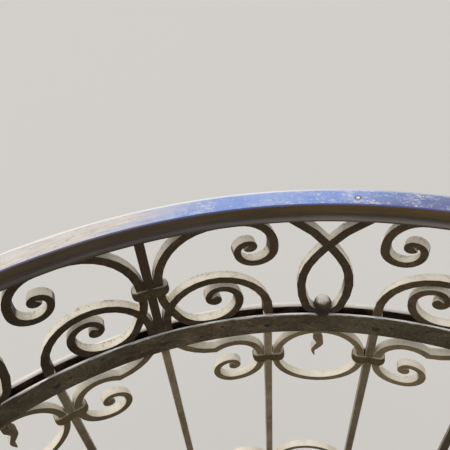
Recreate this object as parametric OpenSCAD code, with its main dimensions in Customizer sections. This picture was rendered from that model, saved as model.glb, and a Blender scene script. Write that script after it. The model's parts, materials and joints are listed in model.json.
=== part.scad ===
// Half-round iron balcony with a scrollwork balustrade.
// The wall is the plane y = 0 and the bow runs out towards -y. Heights are z, all sizes in mm.

/* [Bow] */
// radius from the bow's axis to the middle of the balusters
bow_radius = 840; // [700:10:1100]
// angle left between the last baluster and the wall at each end
end_angle = 6; // [4:0.5:8]
// height of the handrail above the floor plates
railing_height = 1110; // [1000:5:1250]

/* [Bars] */
// side of the square balusters, and depth of everything held between the rail bars
bar = 16; // [12:1:20]
// thickness of the scroll bars, seen from the front
scroll_bar = 15; // [10:1:18]
// thickness of the rings under the loops
ring_bar = 13; // [8:1:16]
// how far a collar stands off the bars that it clasps
collar_wall = 9; // [5:0.5:11]
// height of a collar
collar_height = 22; // [16:1:30]
// radius of the ball in each loop
ball_radius = 16; // [12:1:20]

/* [Rails] */
// width of the handrail over its side faces
handrail_width = 38; // [34:1:60]
// height of the handrail above the bars under it
handrail_depth = 27; // [20:1:36]
// radius of the bead along each lower edge of the handrail
bead = 5.5; // [3:0.5:7]
// thickness of the two thin bars under the handrail
under_flat = 4; // [3:0.5:6]
// height of those two thin bars
under_height = 13; // [8:1:20]
// height of the flat bars of the middle and bottom rails
rail_height = 52; // [30:1:70]
// thickness of the inner flat bar
inner_flat = 6; // [4:0.5:10]
// thickness of the outer flat bar
outer_flat = 11; // [6:0.5:14]
// gap between the bottom rail and the floor plates
rail_gap = 35; // [20:1:80]

/* [Floor and brackets] */
// how far the floor reaches past the middle of the balusters
floor_edge = 40; // [35:5:80]
// height of the edge beam and the wall ledger
beam_height = 120; // [80:5:160]
// thickness of the edge beam's web and flanges
beam_wall = 8; // [6:1:12]
// width of the edge beam's flanges
flange = 60; // [50:5:80]
// thickness of the floor plates
plate = 6; // [4:1:10]
// width of a baluster's foot on the floor
foot_width = 60; // [40:5:80]
// thickness of a baluster's foot
foot_thickness = 8; // [5:1:12]
// thickness of the wall ledger, the wall plates and the brackets' wall legs
ledger = 12; // [8:1:20]
// width of the wall plates that the rails end on
wall_plate_width = 80; // [70:5:120]
// diameter of the bolt holes in the wall plates
wall_plate_hole = 14; // [10:1:18]
// distance of the side brackets from the middle one
bracket_offset = 500; // [400:10:600]
// radius of the curved brace in a bracket
brace_radius = 600; // [450:10:650]
// width of a bracket's bars, seen from the side
brace_bar = 40; // [30:1:60]
// thickness of a bracket's arm and brace
brace_thickness = 12; // [8:1:16]
// width of a bracket's wall leg
leg_width = 60; // [50:5:100]
// length of a bracket's wall leg below the brace
leg_tail = 180; // [120:10:300]
// diameter of the bolt holes in the wall ledger and the bracket legs
bolt_hole = 18; // [12:1:24]

/* [Hidden] */
$fn = 48;

// four bays of three balusters fill the half circle
bays = 4;
baluster_step = (180 - 2 * end_angle) / (3 * bays);
pitch = bow_radius * PI * baluster_step / 180;
// the scroll radii below are those of a 205 mm pitch
k = pitch / 205;
fit = 0.3;
half = bar / 2;
deep = 2 * (bow_radius + 200);

beam_top = beam_height / 2;
floor_top = beam_top + plate;
handrail_top = floor_top + railing_height;
soffit = handrail_top - handrail_depth;
underbar_bottom = soffit - under_height;
// the band of C scrolls and loops is 248 mm high at that pitch
middle_top = soffit - 248 * k;
middle_bottom = middle_top - rail_height;
bottom_top = floor_top + rail_gap + rail_height;
field_middle = (middle_bottom + bottom_top) / 2;
collar_z = middle_top + 113 * k;
// the rings just fit between two balusters and under the rail
ring_radius = (bow_radius - half) * sin(baluster_step / 2) - half * cos(baluster_step / 2) - fit;
ring_z = middle_bottom - ring_radius - fit;
edge_radius = bow_radius + floor_edge;

plain_angles = [for (i = [0 : bays]) (i - bays / 2) * 3 * baluster_step];
bay_angles = [for (i = [0 : bays - 1]) (i + 0.5 - bays / 2) * 3 * baluster_step];
// a collared baluster stands on each side of a bay's middle: [angle, side]
collared = [for (a = bay_angles, s = [-1, 1]) [a + s * baluster_step / 2, s]];

iron = [0.2, 0.17, 0.14];
plate_grey = [0.35, 0.35, 0.36];

// Flat drawing tools: x along the rail, y up.

// A bar is drawn as a walk along its right-hand edge. A step is [radius, angle, width, next width];
// the angle is positive to the left and the radius has its sign. With a radius of 0 the second
// number is a straight length, and with none it is the angle of a sharp corner.
// The walk gives [right x, right y, left x, left y] at each point.
function walk(steps, i = 0, x = 0, y = 0, h = 0) =
    i == len(steps) ? [] :
    let (
        r = steps[i][0], a = steps[i][1], w0 = steps[i][2], w1 = steps[i][3],
        corner = is_undef(r), straight = r == 0,
        n = corner || straight ? 1 : ceil(abs(a) / (abs(r) < 30 ? 18 : 12)),
        pairs = [for (j = [corner ? n : i == 0 ? 0 : 1 : n]) let (
            g = straight ? h : corner ? h + a / 2 : h + a * j / n,
            px = corner ? x : straight ? x + a * j / n * cos(h) : x + r * (sin(g) - sin(h)),
            py = corner ? y : straight ? y + a * j / n * sin(h) : y + r * (cos(h) - cos(g)),
            v = corner ? w0 / cos(a / 2) : w0 + (w1 - w0) * j / n
        ) [px, py, px - v * sin(g), py + v * cos(g)]],
        end = pairs[len(pairs) - 1]
    )
    concat(pairs, walk(steps, i + 1, end[0], end[1], straight ? h : h + a));

// The heading at the end of a walk.
function heading(steps) =
    [for (s = steps) s[0] == 0 ? 0 : s[1]] * [for (s = steps) 1];

function reversed(list) = [for (i = [len(list) - 1 : -1 : 0]) list[i]];

// The outline of a bar: out along its right-hand edge, back along its left-hand edge.
function bar_outline(steps) =
    let (p = walk(steps))
    concat([for (q = p) [q[0], q[1]]], reversed([for (q = p) [q[2], q[3]]]));

// The same, rolled up into a round knob at the end. The knob takes the place of the last
// step's inner edge.
function curled_outline(steps, knob) =
    let (
        p = walk(steps),
        h = heading(steps),
        inner = walk([for (i = [0 : len(steps) - 2]) steps[i]]),
        end = p[len(p) - 1],
        c = [end[0] - knob * sin(h), end[1] + knob * cos(h)]
    )
    concat(
        [for (q = p) [q[0], q[1]]],
        [for (g = [20 : 20 : 180]) c + knob * [sin(h + g), -cos(h + g)]],
        reversed([for (q = inner) [q[2], q[3]]])
    );

// Moves an outline, mirrored if sx or sy is -1, and keeps it running anticlockwise.
function placed(points, x, y, sx = 1, sy = 1) =
    let (q = [for (p = points) [x + sx * p[0], y + sy * p[1]]])
    sx * sy < 0 ? reversed(q) : q;

// A walk that sets out downwards from a baluster's side, and one that sets out upwards.
function downwards(points) = [for (p = points) [half + p[1], -p[0]]];
function upwards(points) = [for (p = points) [half + p[1], p[0]]];

// Placing on the bow.

module at(a) {
    rotate([0, 0, a]) translate([0, -bow_radius, 0]) children();
}

// A flat drawing pushed through the bow at angle a and kept between two radii, so that the
// piece is bent to the bow as a smith bends it.
module bent(a, depth = bar) {
    intersection() {
        at(a) rotate([90, 0, 0]) linear_extrude(120, center = true) children();
        rotate_extrude($fn = 180) translate([bow_radius - depth / 2, 0])
            square([depth, handrail_top]);
    }
}

// A half ring on the bow, cut square where it meets the wall plates.
module half_bow() {
    difference() {
        rotate([0, 0, 180]) rotate_extrude(angle = 180, $fn = 180) children();
        translate([-deep / 2, -ledger, -deep]) cube([deep, 2 * ledger, 2 * deep]);
    }
}

// Top band: C scrolls, arches and loops.

w = scroll_bar;
top_arm = [
    [0, 11.5 * k, w, w], [121 * k, 40, w, w], [115.5 * k, 50, w, w], [0, 33 * k, w, w],
    [62 * k, 90, w, w - 1], [0, 8 * k, w - 1, w - 1], [39 * k, 90, w - 1, w - 2],
    [34 * k, 90, w - 2, w - 3], [25.5 * k, 90, w - 3, w - 4], [14 * k, 50, w - 4, w - 4]
];
low_arm = [
    [0, 11.5 * k, w, w], [108 * k, 25, w, w], [0, 31.5 * k, w, w], [67 * k, 65, w, w],
    [0, 3.5 * k, w, w], [63 * k, 90, w, w - 1], [39.5 * k, 90, w - 1, w - 2],
    [28.5 * k, 90, w - 2, w - 4], [19 * k, 70, w - 4, w - 4]
];
loop_arm = [
    [41 * k, 70, w, w], [175 * k, 20, w, w], [129.5 * k, 35, w, w], [0, 20 * k, w, w],
    [291 * k, 21, w, w]
];

// The C scroll: its back lies flat on the plain baluster at the height y = 0.
c_outline = concat(
    downwards(curled_outline(low_arm, 12.5 * k)),
    reversed(upwards(curled_outline(top_arm, 12.5 * k)))
);

// The arch springs beside the plain baluster and lands over the collared one, with y = 0 at
// the top of the middle rail. Its crown is a little flatter than its sides.
function arch_outline() =
    let (near = half + w / 2, far = bow_radius * sin(baluster_step), r = (far - near + w) / 2,
         leg = 17 * k, foot = rail_height / 2)
    [for (p = bar_outline([
        [0, leg, w, w], [r - 2 * k, 60, w, w], [r + 2 * k, 60, w, w], [r - 2 * k, 60, w, w],
        [0, leg + foot, w, w]
    ])) [far + w / 2 - p[1], p[0]]];

// A scroll and an arch beside each plain baluster at the ends of a bay, the second pair mirrored.
module top_scrolls(i) {
    color(iron) for (s = [-1, 1]) bent(bay_angles[i - 1] + s * 1.5 * baluster_step) {
        polygon(placed(c_outline, 0, collar_z, -s));
        polygon(placed(arch_outline(), 0, middle_top, -s));
    }
}

module loop(i) {
    color(iron) {
        bent(bay_angles[i - 1]) for (s = [-1, 1])
            polygon(placed(bar_outline(loop_arm), 0, middle_top - 8 * k, s));
        at(bay_angles[i - 1]) translate([0, 3, middle_top + fit]) {
            cylinder(r = ball_radius - 1, h = ball_radius + 5);
            translate([0, 0, ball_radius + 5]) sphere(r = ball_radius);
        }
    }
}

// Scrolls under the middle rail, and the same turned over on the bottom rail.

tail_arm = [
    [0, 12 * k, w, w], [58 * k, 90, w, w], [71.5 * k, 36, w, w], [undef, -44, w, w],
    [-85 * k, -47, w, w - 1], [0, 14 * k, w - 1, w - 2]
];
curl_arm = [
    [0, 8 * k, w, w], [64.5 * k, 90, w, w - 1], [43 * k, 90, w - 1, w - 2],
    [36 * k, 90, w - 2, w - 3], [21 * k, 90, w - 3, w - 4], [14 * k, 70, w - 4, w - 4]
];
tailed_outline = concat(
    downwards(curled_outline(curl_arm, 11 * k)), reversed(upwards(bar_outline(tail_arm)))
);

// The height of a thing at z, or of the same thing turned over.
function side_up(z, over) = over ? 2 * field_middle - z : z;

module field_scrolls(i, over) {
    color(iron) {
        bent(bay_angles[i - 1]) translate([0, side_up(ring_z, over)]) difference() {
            circle(r = ring_radius);
            circle(r = ring_radius - ring_bar);
        }
        for (s = [-1, 1]) bent(bay_angles[i - 1] + s * baluster_step / 2)
            polygon(placed(tailed_outline, 0, side_up(ring_z, over), s, over ? -1 : 1));
    }
}

// A flame-like drop in each ring: it hangs from the ring's inside, swings to one side, turns
// back under itself and ends in a small hook. It swings the same way in every ring.
drop_line = [
    [0, 18 * k, w - 2, w - 2], [12 * k, 27, w - 2, w - 1], [0, 12 * k, w - 1, w - 1],
    [-5 * k, -52, w - 1, w - 1], [0, 16 * k, w - 1, w - 4], [18 * k, 47, w - 4, 6],
    [0, 13 * k, 6, 2]
];
drop_start = [13 * k, 3 * k];

module drops(over) {
    inside = ring_radius - ring_bar - fit;
    points = [for (p = bar_outline(drop_line)) [p[1], -p[0]]];
    up = over ? -1 : 1;
    color(iron) for (a = bay_angles) bent(a) translate([0, side_up(ring_z, over)]) intersection() {
        polygon(placed(points, drop_start[0], up * (inside + drop_start[1]), -1, up));
        circle(r = inside);
    }
}

// Collars.

// A half-round band round bars that span x0 to x1, at height y = 0.
module collar(x0, x1) {
    r = collar_height / 2;
    wide = x1 - x0 + 2 * collar_wall;
    thick = bar + 2 * collar_wall;
    translate([(x0 + x1) / 2, 0, 0]) difference() {
        intersection() {
            rotate([90, 0, 0]) linear_extrude(3 * bar, center = true) lozenge(wide, r);
            rotate([90, 0, 90]) linear_extrude(2 * wide, center = true) lozenge(thick, r);
        }
        cube([x1 - x0 + 2 * fit, bar + 2 * fit, 2 * collar_height], center = true);
    }
}

module lozenge(long, r) {
    square([long - 2 * r, 2 * r], center = true);
    for (s = [-1, 1]) translate([s * (long / 2 - r), 0]) circle(r = r);
}

module top_scroll_collars() {
    color(iron) for (i = [0 : bays]) at(plain_angles[i]) translate([0, 0, collar_z])
        collar(i == 0 ? -half : -half - w, i == bays ? half : half + w);
}

// A field collar sits a little off the ring's middle. The ring leans away from the baluster's
// side, because the bow turns between them.
collar_lift = 3;

module field_collars(z) {
    bulge = pow(collar_height / 2 + collar_lift, 2) / 2 / (ring_radius - ring_bar);
    lean = bar * tan(baluster_step / 2) + bulge;
    color(iron) for (c = collared) at(c[0]) translate([0, 0, z]) mirror([c[1] < 0 ? 1 : 0, 0, 0])
        collar(-half - ring_bar - lean - fit, half + w);
}

// Rails.

// A slightly domed bar with rounded top corners and a bead sunk into each lower edge.
module handrail() {
    h = handrail_width / 2;
    low = -handrail_depth;
    corner = 6;
    dome = 110;
    color(iron) half_bow() translate([bow_radius, handrail_top]) {
        intersection() {
            union() {
                translate([-h, low]) square([2 * h, -corner - low]);
                translate([corner - h, low]) square([2 * h - 2 * corner, -low]);
                for (s = [-1, 1]) translate([s * (h - corner), -corner]) circle(r = corner);
            }
            translate([0, -dome]) circle(r = dome);
        }
        for (s = [-1, 1]) translate([s * (half + under_flat + 2 * fit + bead), low + 3 - bead])
            circle(r = bead);
    }
}

module flat_band(inner, thick, z, high) {
    color(iron) half_bow() translate([inner, z]) square([thick, high]);
}

module handrail_underbars() {
    for (r = [bow_radius - half - fit - under_flat, bow_radius + half + fit])
        flat_band(r, under_flat, underbar_bottom, under_height);
}

module inner_bar(z) {
    flat_band(bow_radius - half - fit - inner_flat, inner_flat, z, rail_height);
}

// The outer bar has a rounded top edge.
module outer_bar(z) {
    r = outer_flat / 2;
    color(iron) half_bow() translate([bow_radius + half + fit, z]) {
        square([outer_flat, rail_height - r]);
        translate([r, rail_height - r]) circle(r = r);
    }
}

// Balusters.

module baluster(a, z0, z1) {
    at(a) translate([-half, -half, z0]) cube([bar, bar, z1 - z0]);
}

module plain_balusters() {
    color(iron) for (a = plain_angles) baluster(a, floor_top + foot_thickness, soffit);
}

module collared_balusters() {
    color(iron) for (c = collared) baluster(c[0], bottom_top - rail_height, middle_top);
}

module baluster_feet() {
    color(iron) for (a = plain_angles) at(a)
        translate([-foot_width / 2, 5 - foot_width / 2, floor_top])
            cube([foot_width, foot_width - 10, foot_thickness]);
}

// Wall plates, floor and brackets.

// The plate's bolts stand in pairs beside the last baluster.
module wall_plate(side) {
    aside = wall_plate_width / 2 - wall_plate_hole;
    color(iron) difference() {
        translate([side * bow_radius - wall_plate_width / 2, -ledger, floor_top])
            cube([wall_plate_width, ledger, railing_height + 12]);
        for (x = [-aside, aside], z = [0.28, 0.86])
            translate([side * bow_radius + x, 0, floor_top + z * railing_height])
                rotate([90, 0, 0]) cylinder(d = wall_plate_hole, h = 3 * ledger, center = true);
    }
}

module edge_beam() {
    color(iron) half_bow() translate([edge_radius, 0]) difference() {
        translate([-flange, -beam_top]) square([flange, beam_height]);
        translate([-flange - 1, beam_wall - beam_top])
            square([flange + 1 - beam_wall, beam_height - 2 * beam_wall]);
    }
}

ledger_bolts = [-0.85, -0.3, 0.3, 0.85];

module wall_ledger() {
    color(iron) difference() {
        translate([-edge_radius, -ledger, -beam_top]) cube([2 * edge_radius, ledger, beam_height]);
        for (x = ledger_bolts) translate([x * bow_radius, 0, 0])
            rotate([90, 0, 0]) cylinder(d = bolt_hole, h = 3 * ledger, center = true);
    }
}

module floor_plates() {
    seams = [-edge_radius - 1, -bracket_offset, 0, bracket_offset, edge_radius + 1];
    color(plate_grey) for (i = [0 : 3]) intersection() {
        translate([0, 0, beam_top]) cylinder(r = edge_radius, h = plate, $fn = 180);
        translate([seams[i] + 1, -edge_radius - 1, beam_top - 1])
            cube([seams[i + 1] - seams[i] - 2, edge_radius + 1, plate + 2]);
    }
}

// A wall leg, a coped arm under the plates and a curved brace between them.
module bracket(x) {
    arm_bottom = beam_top - brace_bar;
    leg_bottom = arm_bottom - brace_radius - leg_tail;
    color(iron) {
        difference() {
            union() {
                intersection() {
                    translate([x - brace_thickness / 2, -edge_radius, arm_bottom])
                        cube([brace_thickness, edge_radius - ledger, brace_bar]);
                    cylinder(r = edge_radius - beam_wall - fit, h = deep, center = true, $fn = 180);
                }
                translate([x, -ledger + 3 - brace_radius, arm_bottom + 3 - brace_radius])
                    rotate([90, 0, 90]) linear_extrude(brace_thickness, center = true) intersection() {
                        difference() {
                            circle(r = brace_radius, $fn = 96);
                            circle(r = brace_radius - brace_bar, $fn = 96);
                        }
                        square(2 * brace_radius);
                    }
                translate([x - leg_width / 2, -ledger, leg_bottom])
                    cube([leg_width, ledger, -beam_top - leg_bottom]);
            }
            // coped round the edge beam's top flange
            difference() {
                translate([0, 0, beam_top - beam_wall - fit])
                    cylinder(r = edge_radius + 50, h = 50, $fn = 180);
                cylinder(r = edge_radius - flange - fit, h = deep, center = true, $fn = 180);
            }
            for (z = [-beam_top - 60, leg_bottom + 50]) translate([x, 0, z])
                rotate([90, 0, 0]) cylinder(d = bolt_hole, h = 3 * ledger, center = true);
        }
    }
}

handrail();
handrail_underbars();
inner_bar(middle_bottom);  // middle_rail_inner_bar
outer_bar(middle_bottom);  // middle_rail_outer_bar
inner_bar(bottom_top - rail_height);  // bottom_rail_inner_bar
outer_bar(bottom_top - rail_height);  // bottom_rail_outer_bar
plain_balusters();
collared_balusters();
baluster_feet();
top_scrolls(1);  // bay_1_top_scrolls
top_scrolls(2);  // bay_2_top_scrolls
top_scrolls(3);  // bay_3_top_scrolls
top_scrolls(4);  // bay_4_top_scrolls
loop(1);  // bay_1_loop
loop(2);  // bay_2_loop
loop(3);  // bay_3_loop
loop(4);  // bay_4_loop
top_scroll_collars();
field_scrolls(1, false);  // bay_1_middle_scrolls
field_scrolls(2, false);  // bay_2_middle_scrolls
field_scrolls(3, false);  // bay_3_middle_scrolls
field_scrolls(4, false);  // bay_4_middle_scrolls
field_collars(ring_z + collar_lift);  // middle_scroll_collars
drops(false);  // middle_drops
field_scrolls(1, true);  // bay_1_bottom_scrolls
field_scrolls(2, true);  // bay_2_bottom_scrolls
field_scrolls(3, true);  // bay_3_bottom_scrolls
field_scrolls(4, true);  // bay_4_bottom_scrolls
field_collars(2 * field_middle - ring_z - collar_lift);  // bottom_scroll_collars
drops(true);  // bottom_drops
wall_plate(-1);  // wall_plate_left
wall_plate(1);  // wall_plate_right
floor_plates();
edge_beam();
wall_ledger();
bracket(-bracket_offset);  // bracket_left
bracket(0);  // bracket_middle
bracket(bracket_offset);  // bracket_right
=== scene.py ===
import json
import math

import bpy
from mathutils import Matrix, Vector, noise as fractal


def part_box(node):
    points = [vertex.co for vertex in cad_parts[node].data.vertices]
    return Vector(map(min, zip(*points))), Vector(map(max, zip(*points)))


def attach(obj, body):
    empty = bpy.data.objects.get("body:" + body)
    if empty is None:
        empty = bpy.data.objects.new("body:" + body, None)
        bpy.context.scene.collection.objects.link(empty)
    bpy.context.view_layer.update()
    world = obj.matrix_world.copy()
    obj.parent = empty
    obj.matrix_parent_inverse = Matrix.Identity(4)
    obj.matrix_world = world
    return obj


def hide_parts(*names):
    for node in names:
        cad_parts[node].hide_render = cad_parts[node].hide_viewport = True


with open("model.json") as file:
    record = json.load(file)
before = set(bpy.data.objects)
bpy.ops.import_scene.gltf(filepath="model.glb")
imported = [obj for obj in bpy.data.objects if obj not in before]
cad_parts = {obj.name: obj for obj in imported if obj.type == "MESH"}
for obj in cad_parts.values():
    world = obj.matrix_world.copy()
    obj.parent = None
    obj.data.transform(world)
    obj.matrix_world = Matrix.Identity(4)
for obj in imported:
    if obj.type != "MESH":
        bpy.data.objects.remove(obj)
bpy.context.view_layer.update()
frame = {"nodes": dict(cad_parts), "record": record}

nodes = frame["nodes"]
scene = bpy.context.scene
print("frame loaded:", len(nodes), "nodes")


# Sizes shared with the CAD, in metres and degrees: half is half an upright, and the three bars give
# their thickness. Heights are read from the frame.
bow = {"radius": 0.840, "bays": 4, "step": 14.0, "half": 0.008, "fit": 0.0003,
       "innerBar": 0.006, "outerBar": 0.011, "underbar": 0.004, "bracketHalf": 0.006}
bow["handrailTop"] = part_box("handrail")[1][2]
bow["middleTop"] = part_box("middle_rail_inner_bar")[1][2]
bow["middleBottom"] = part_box("middle_rail_inner_bar")[0][2]
bow["bottomTop"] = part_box("bottom_rail_inner_bar")[1][2]
bow["bottomBottom"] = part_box("bottom_rail_inner_bar")[0][2]
bow["floorTop"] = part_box("floor_plates")[1][2]
plainAngles = [(i - bow["bays"] / 2) * 3 * bow["step"] for i in range(bow["bays"] + 1)]
bayAngles = [(i + 0.5 - bow["bays"] / 2) * 3 * bow["step"] for i in range(bow["bays"])]
collared = [(a + s * bow["step"] / 2, s) for a in bayAngles for s in (-1, 1)]


def onBow(angle, radius, z):
    # a point at an angle round the bow, 0 straight out from the wall
    a = math.radians(angle)
    return Vector((radius * math.sin(a), -radius * math.cos(a), z))


def bowFrame(angle):
    # along the bow, outwards from its axis, and up
    a = math.radians(angle)
    along, out = Vector((math.cos(a), math.sin(a), 0)), Vector((math.sin(a), -math.cos(a), 0))
    return along, out, Vector((0, 0, 1))


# Materials

def link(tree, a, b):
    tree.links.new(a, b)


def feed(tree, socket, value):
    # a socket is linked to another one, or is given a colour or a number
    if isinstance(value, bpy.types.NodeSocket):
        link(tree, value, socket)
    else:
        socket.default_value = (*value, 1) if isinstance(value, tuple) else value


def ramp(tree, source, stops):
    # each stop is a place with a colour or a number
    r = tree.nodes.new("ShaderNodeValToRGB")
    while len(r.color_ramp.elements) < len(stops):
        r.color_ramp.elements.new(0.5)
    for element, (place, colour) in zip(r.color_ramp.elements, stops):
        element.position = place
        element.color = (*colour, 1) if isinstance(colour, tuple) else (colour, colour, colour, 1)
    link(tree, source, r.inputs["Fac"])
    return r.outputs["Color"]


def between(tree, source, span, first=0.0, last=1.0):
    # goes from first to last over a span of the source
    return ramp(tree, source, [(span[0], first), (span[1], last)])


def stretched(tree, coords, scale):
    m = tree.nodes.new("ShaderNodeMapping")
    m.inputs["Scale"].default_value = scale
    link(tree, coords, m.inputs["Vector"])
    return m.outputs["Vector"]


def noise(tree, coords, scale, detail, roughness, distortion=0.0):
    n = tree.nodes.new("ShaderNodeTexNoise")
    n.inputs["Scale"].default_value = scale
    n.inputs["Detail"].default_value = detail
    n.inputs["Roughness"].default_value = roughness
    n.inputs["Distortion"].default_value = distortion
    link(tree, coords, n.inputs["Vector"])
    return n.outputs["Fac"]


def streaks(tree, coords, scale, *kind):
    # a noise with a scale of its own in each direction
    return noise(tree, stretched(tree, coords, scale), 1.0, *kind)


def mixColour(tree, factor, a, b):
    m = tree.nodes.new("ShaderNodeMix")
    m.data_type = "RGBA"
    for socket, value in ((m.inputs[0], factor), (m.inputs[6], a), (m.inputs[7], b)):
        feed(tree, socket, value)
    return m.outputs[2]


def maths(tree, operation, a, b=0.0, clamp=False):
    m = tree.nodes.new("ShaderNodeMath")
    m.operation = operation
    m.use_clamp = clamp
    for socket, value in zip(m.inputs, (a, b)):
        feed(tree, socket, value)
    return m.outputs[0]


def plus(tree, a, b, clamp=False):
    return maths(tree, "ADD", a, b, clamp)


def minus(tree, a, b):
    return maths(tree, "SUBTRACT", a, b)


def times(tree, a, b, clamp=False):
    return maths(tree, "MULTIPLY", a, b, clamp)


def swing(tree, source, amount):
    # a noise as a push to both sides of zero
    return times(tree, minus(tree, source, 0.5), amount)


def mapRange(tree, value, low, high, toLow=0.0, toHigh=1.0, smooth=False):
    m = tree.nodes.new("ShaderNodeMapRange")
    if smooth:
        m.interpolation_type = "SMOOTHSTEP"
    m.inputs["From Min"].default_value = low
    m.inputs["From Max"].default_value = high
    m.inputs["To Min"].default_value = toLow
    m.inputs["To Max"].default_value = toHigh
    link(tree, value, m.inputs["Value"])
    return m.outputs["Result"]


def vectorMaths(tree, operation, *values):
    v = tree.nodes.new("ShaderNodeVectorMath")
    v.operation = operation
    for socket, value in zip(v.inputs, values):
        if isinstance(value, bpy.types.NodeSocket):
            link(tree, value, socket)
        else:
            socket.default_value = value
    return v.outputs


def newMaterial(name):
    material = bpy.data.materials.new(name)
    material.use_nodes = True
    tree = material.node_tree
    coords = tree.nodes.new("ShaderNodeTexCoord").outputs["Object"]
    geometry = tree.nodes.new("ShaderNodeNewGeometry")
    return material, tree, tree.nodes["Principled BSDF"], coords, geometry.outputs["Normal"]


def facing(tree, normal, direction):
    # how far a face looks in a fixed direction
    return vectorMaths(tree, "DOT_PRODUCT", normal, Vector(direction).normalized())["Value"]


def facingAxis(tree, normal, coords):
    # 1 on a face that looks at the bow's axis, -1 on one that looks away from it
    flat = vectorMaths(tree, "NORMALIZE", stretched(tree, coords, (1.0, 1.0, 0.0)))["Vector"]
    return times(tree, vectorMaths(tree, "DOT_PRODUCT", normal, flat)["Value"], -1.0)


def scaled(tree, colour, amount):
    v = tree.nodes.new("ShaderNodeVectorMath")
    v.operation = "SCALE"
    link(tree, colour, v.inputs[0])
    link(tree, amount, v.inputs["Scale"])
    return v.outputs["Vector"]


def bowPlace(tree, coords):
    # distance along the bow (towards +X), distance from its axis, and height
    split = tree.nodes.new("ShaderNodeSeparateXYZ")
    link(tree, coords, split.inputs[0])
    x, y, z = split.outputs
    along = times(tree, maths(tree, "ARCTAN2", x, times(tree, y, -1.0)), bow["radius"])
    away = maths(tree, "SQRT", plus(tree, times(tree, x, x), times(tree, y, y)))
    return along, away, z


def joined(tree, x, y, z):
    v = tree.nodes.new("ShaderNodeCombineXYZ")
    for socket, value in zip(v.inputs, (x, y, z)):
        link(tree, value, socket)
    return v.outputs[0]


def bump(tree, height, strength, distance):
    b = tree.nodes.new("ShaderNodeBump")
    b.inputs["Strength"].default_value = strength
    b.inputs["Distance"].default_value = distance
    link(tree, height, b.inputs["Height"])
    return b


# depths of the marks, and how much the middle noise adds to the grit
relief = {"dents": 0.004, "grit": 0.0012, "gritMiddle": 1.6}


def hammerMarks(tree, coords, middle, fine, look, shader):
    # broad hammer marks, then brush marks and grit
    dents = tree.nodes.new("ShaderNodeTexVoronoi")
    dents.feature = "SMOOTH_F1"
    dents.inputs["Scale"].default_value = look["hammerScale"]
    dents.inputs["Smoothness"].default_value = 1.0
    link(tree, coords, dents.inputs["Vector"])
    hammered = bump(tree, dents.outputs["Distance"], look["hammer"], relief["dents"])
    height = plus(tree, times(tree, middle, relief["gritMiddle"]), fine)
    grit = bump(tree, height, look["grit"], relief["grit"])
    link(tree, hammered.outputs["Normal"], grit.inputs["Normal"])
    link(tree, grit.outputs["Normal"], shader.inputs["Normal"])


# Layers of paint, and of pale dust with painted sky light on it: noises as scale, detail and
# roughness, then the spans of a noise or a place over which each layer sets in
ironLayers = {
    "broad": (9.0, 4.0, 0.55), "middle": (55.0, 6.0, 0.62), "fine": (420.0, 5.0, 0.7),
    "warm": (0.38, 0.62), "faded": (0.46, 0.70), "rustMiddle": (0.58, 0.66), "rustFine": (0.42, 0.58),
    "fleck": (0.60, 0.70), "grimy": (0.35, 0.65), "gap": (0.46, 0.62), "gapInward": (0.4, 0.8),
    "above": (-0.02, 0.01), "aboveAmount": 0.93,
    "sides": (0.30, -0.40), "wholeBow": (0.65, -0.65), "below": (0.75, 0.35),
    "crackScale": 95.0, "crackWander": (0.022, 0.012, 0.03), "crack": (0.02, 0.07),
    "crackMiddle": (0.50, 0.56), "speck": (0.35, 0.42), "patch": (0.62, 0.72), "cool": (0.40, 0.60),
    "outwardFrom": -0.003, "innerWear": 0.6, "ballMiddle": 0.7, "ballFine": 0.5,
    "rough": (0.3, 0.7), "smoother": 0.10, "rougher": 0.14, "dustAndSheenRougher": 0.25,
}


def brokenDustAndSheen(tree, coords, broad, middle, fine):
    # specks, patches and thin cracks where dust and flakes have gone, breaking the pale layer of dust and
    # painted sky light
    layer = ironLayers
    cells = tree.nodes.new("ShaderNodeTexVoronoi")
    cells.feature = "DISTANCE_TO_EDGE"
    cells.inputs["Scale"].default_value = layer["crackScale"]
    noises = joined(tree, middle, fine, broad)
    wander = vectorMaths(tree, "MULTIPLY_ADD", noises, layer["crackWander"], coords)["Vector"]
    link(tree, wander, cells.inputs["Vector"])
    cracks = times(tree, between(tree, cells.outputs["Distance"], layer["crack"], 1.0, 0.0),
                   between(tree, middle, layer["crackMiddle"]))
    specks = between(tree, fine, layer["speck"], 1.0, 0.0)
    patches = between(tree, middle, layer["patch"])
    return maths(tree, "MAXIMUM", maths(tree, "MAXIMUM", cracks, specks), patches)


def ballTone(tree, colour, ball, along, z, up, middle, fine):
    # the balls are greyer, with a painted highlight on top and painted shade underneath
    near, full = ball["every"] - ball["reach"], ball["every"] - ball["full"]
    nearBall = mapRange(tree, maths(tree, "PINGPONG", along, ball["every"]), near, full)
    for low, high in ball["heights"]:
        inside = mapRange(tree, z, bow["middleTop"] + low, bow["middleTop"] + high)
        nearBall = times(tree, nearBall, inside)
    ballLight = plus(tree, mapRange(tree, up, -1.0, 1.0), swing(tree, middle, ironLayers["ballMiddle"]))
    ballLight = plus(tree, ballLight, swing(tree, fine, ironLayers["ballFine"]))
    return mixColour(tree, nearBall, colour, ramp(tree, ballLight, ball["tones"]))


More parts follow.
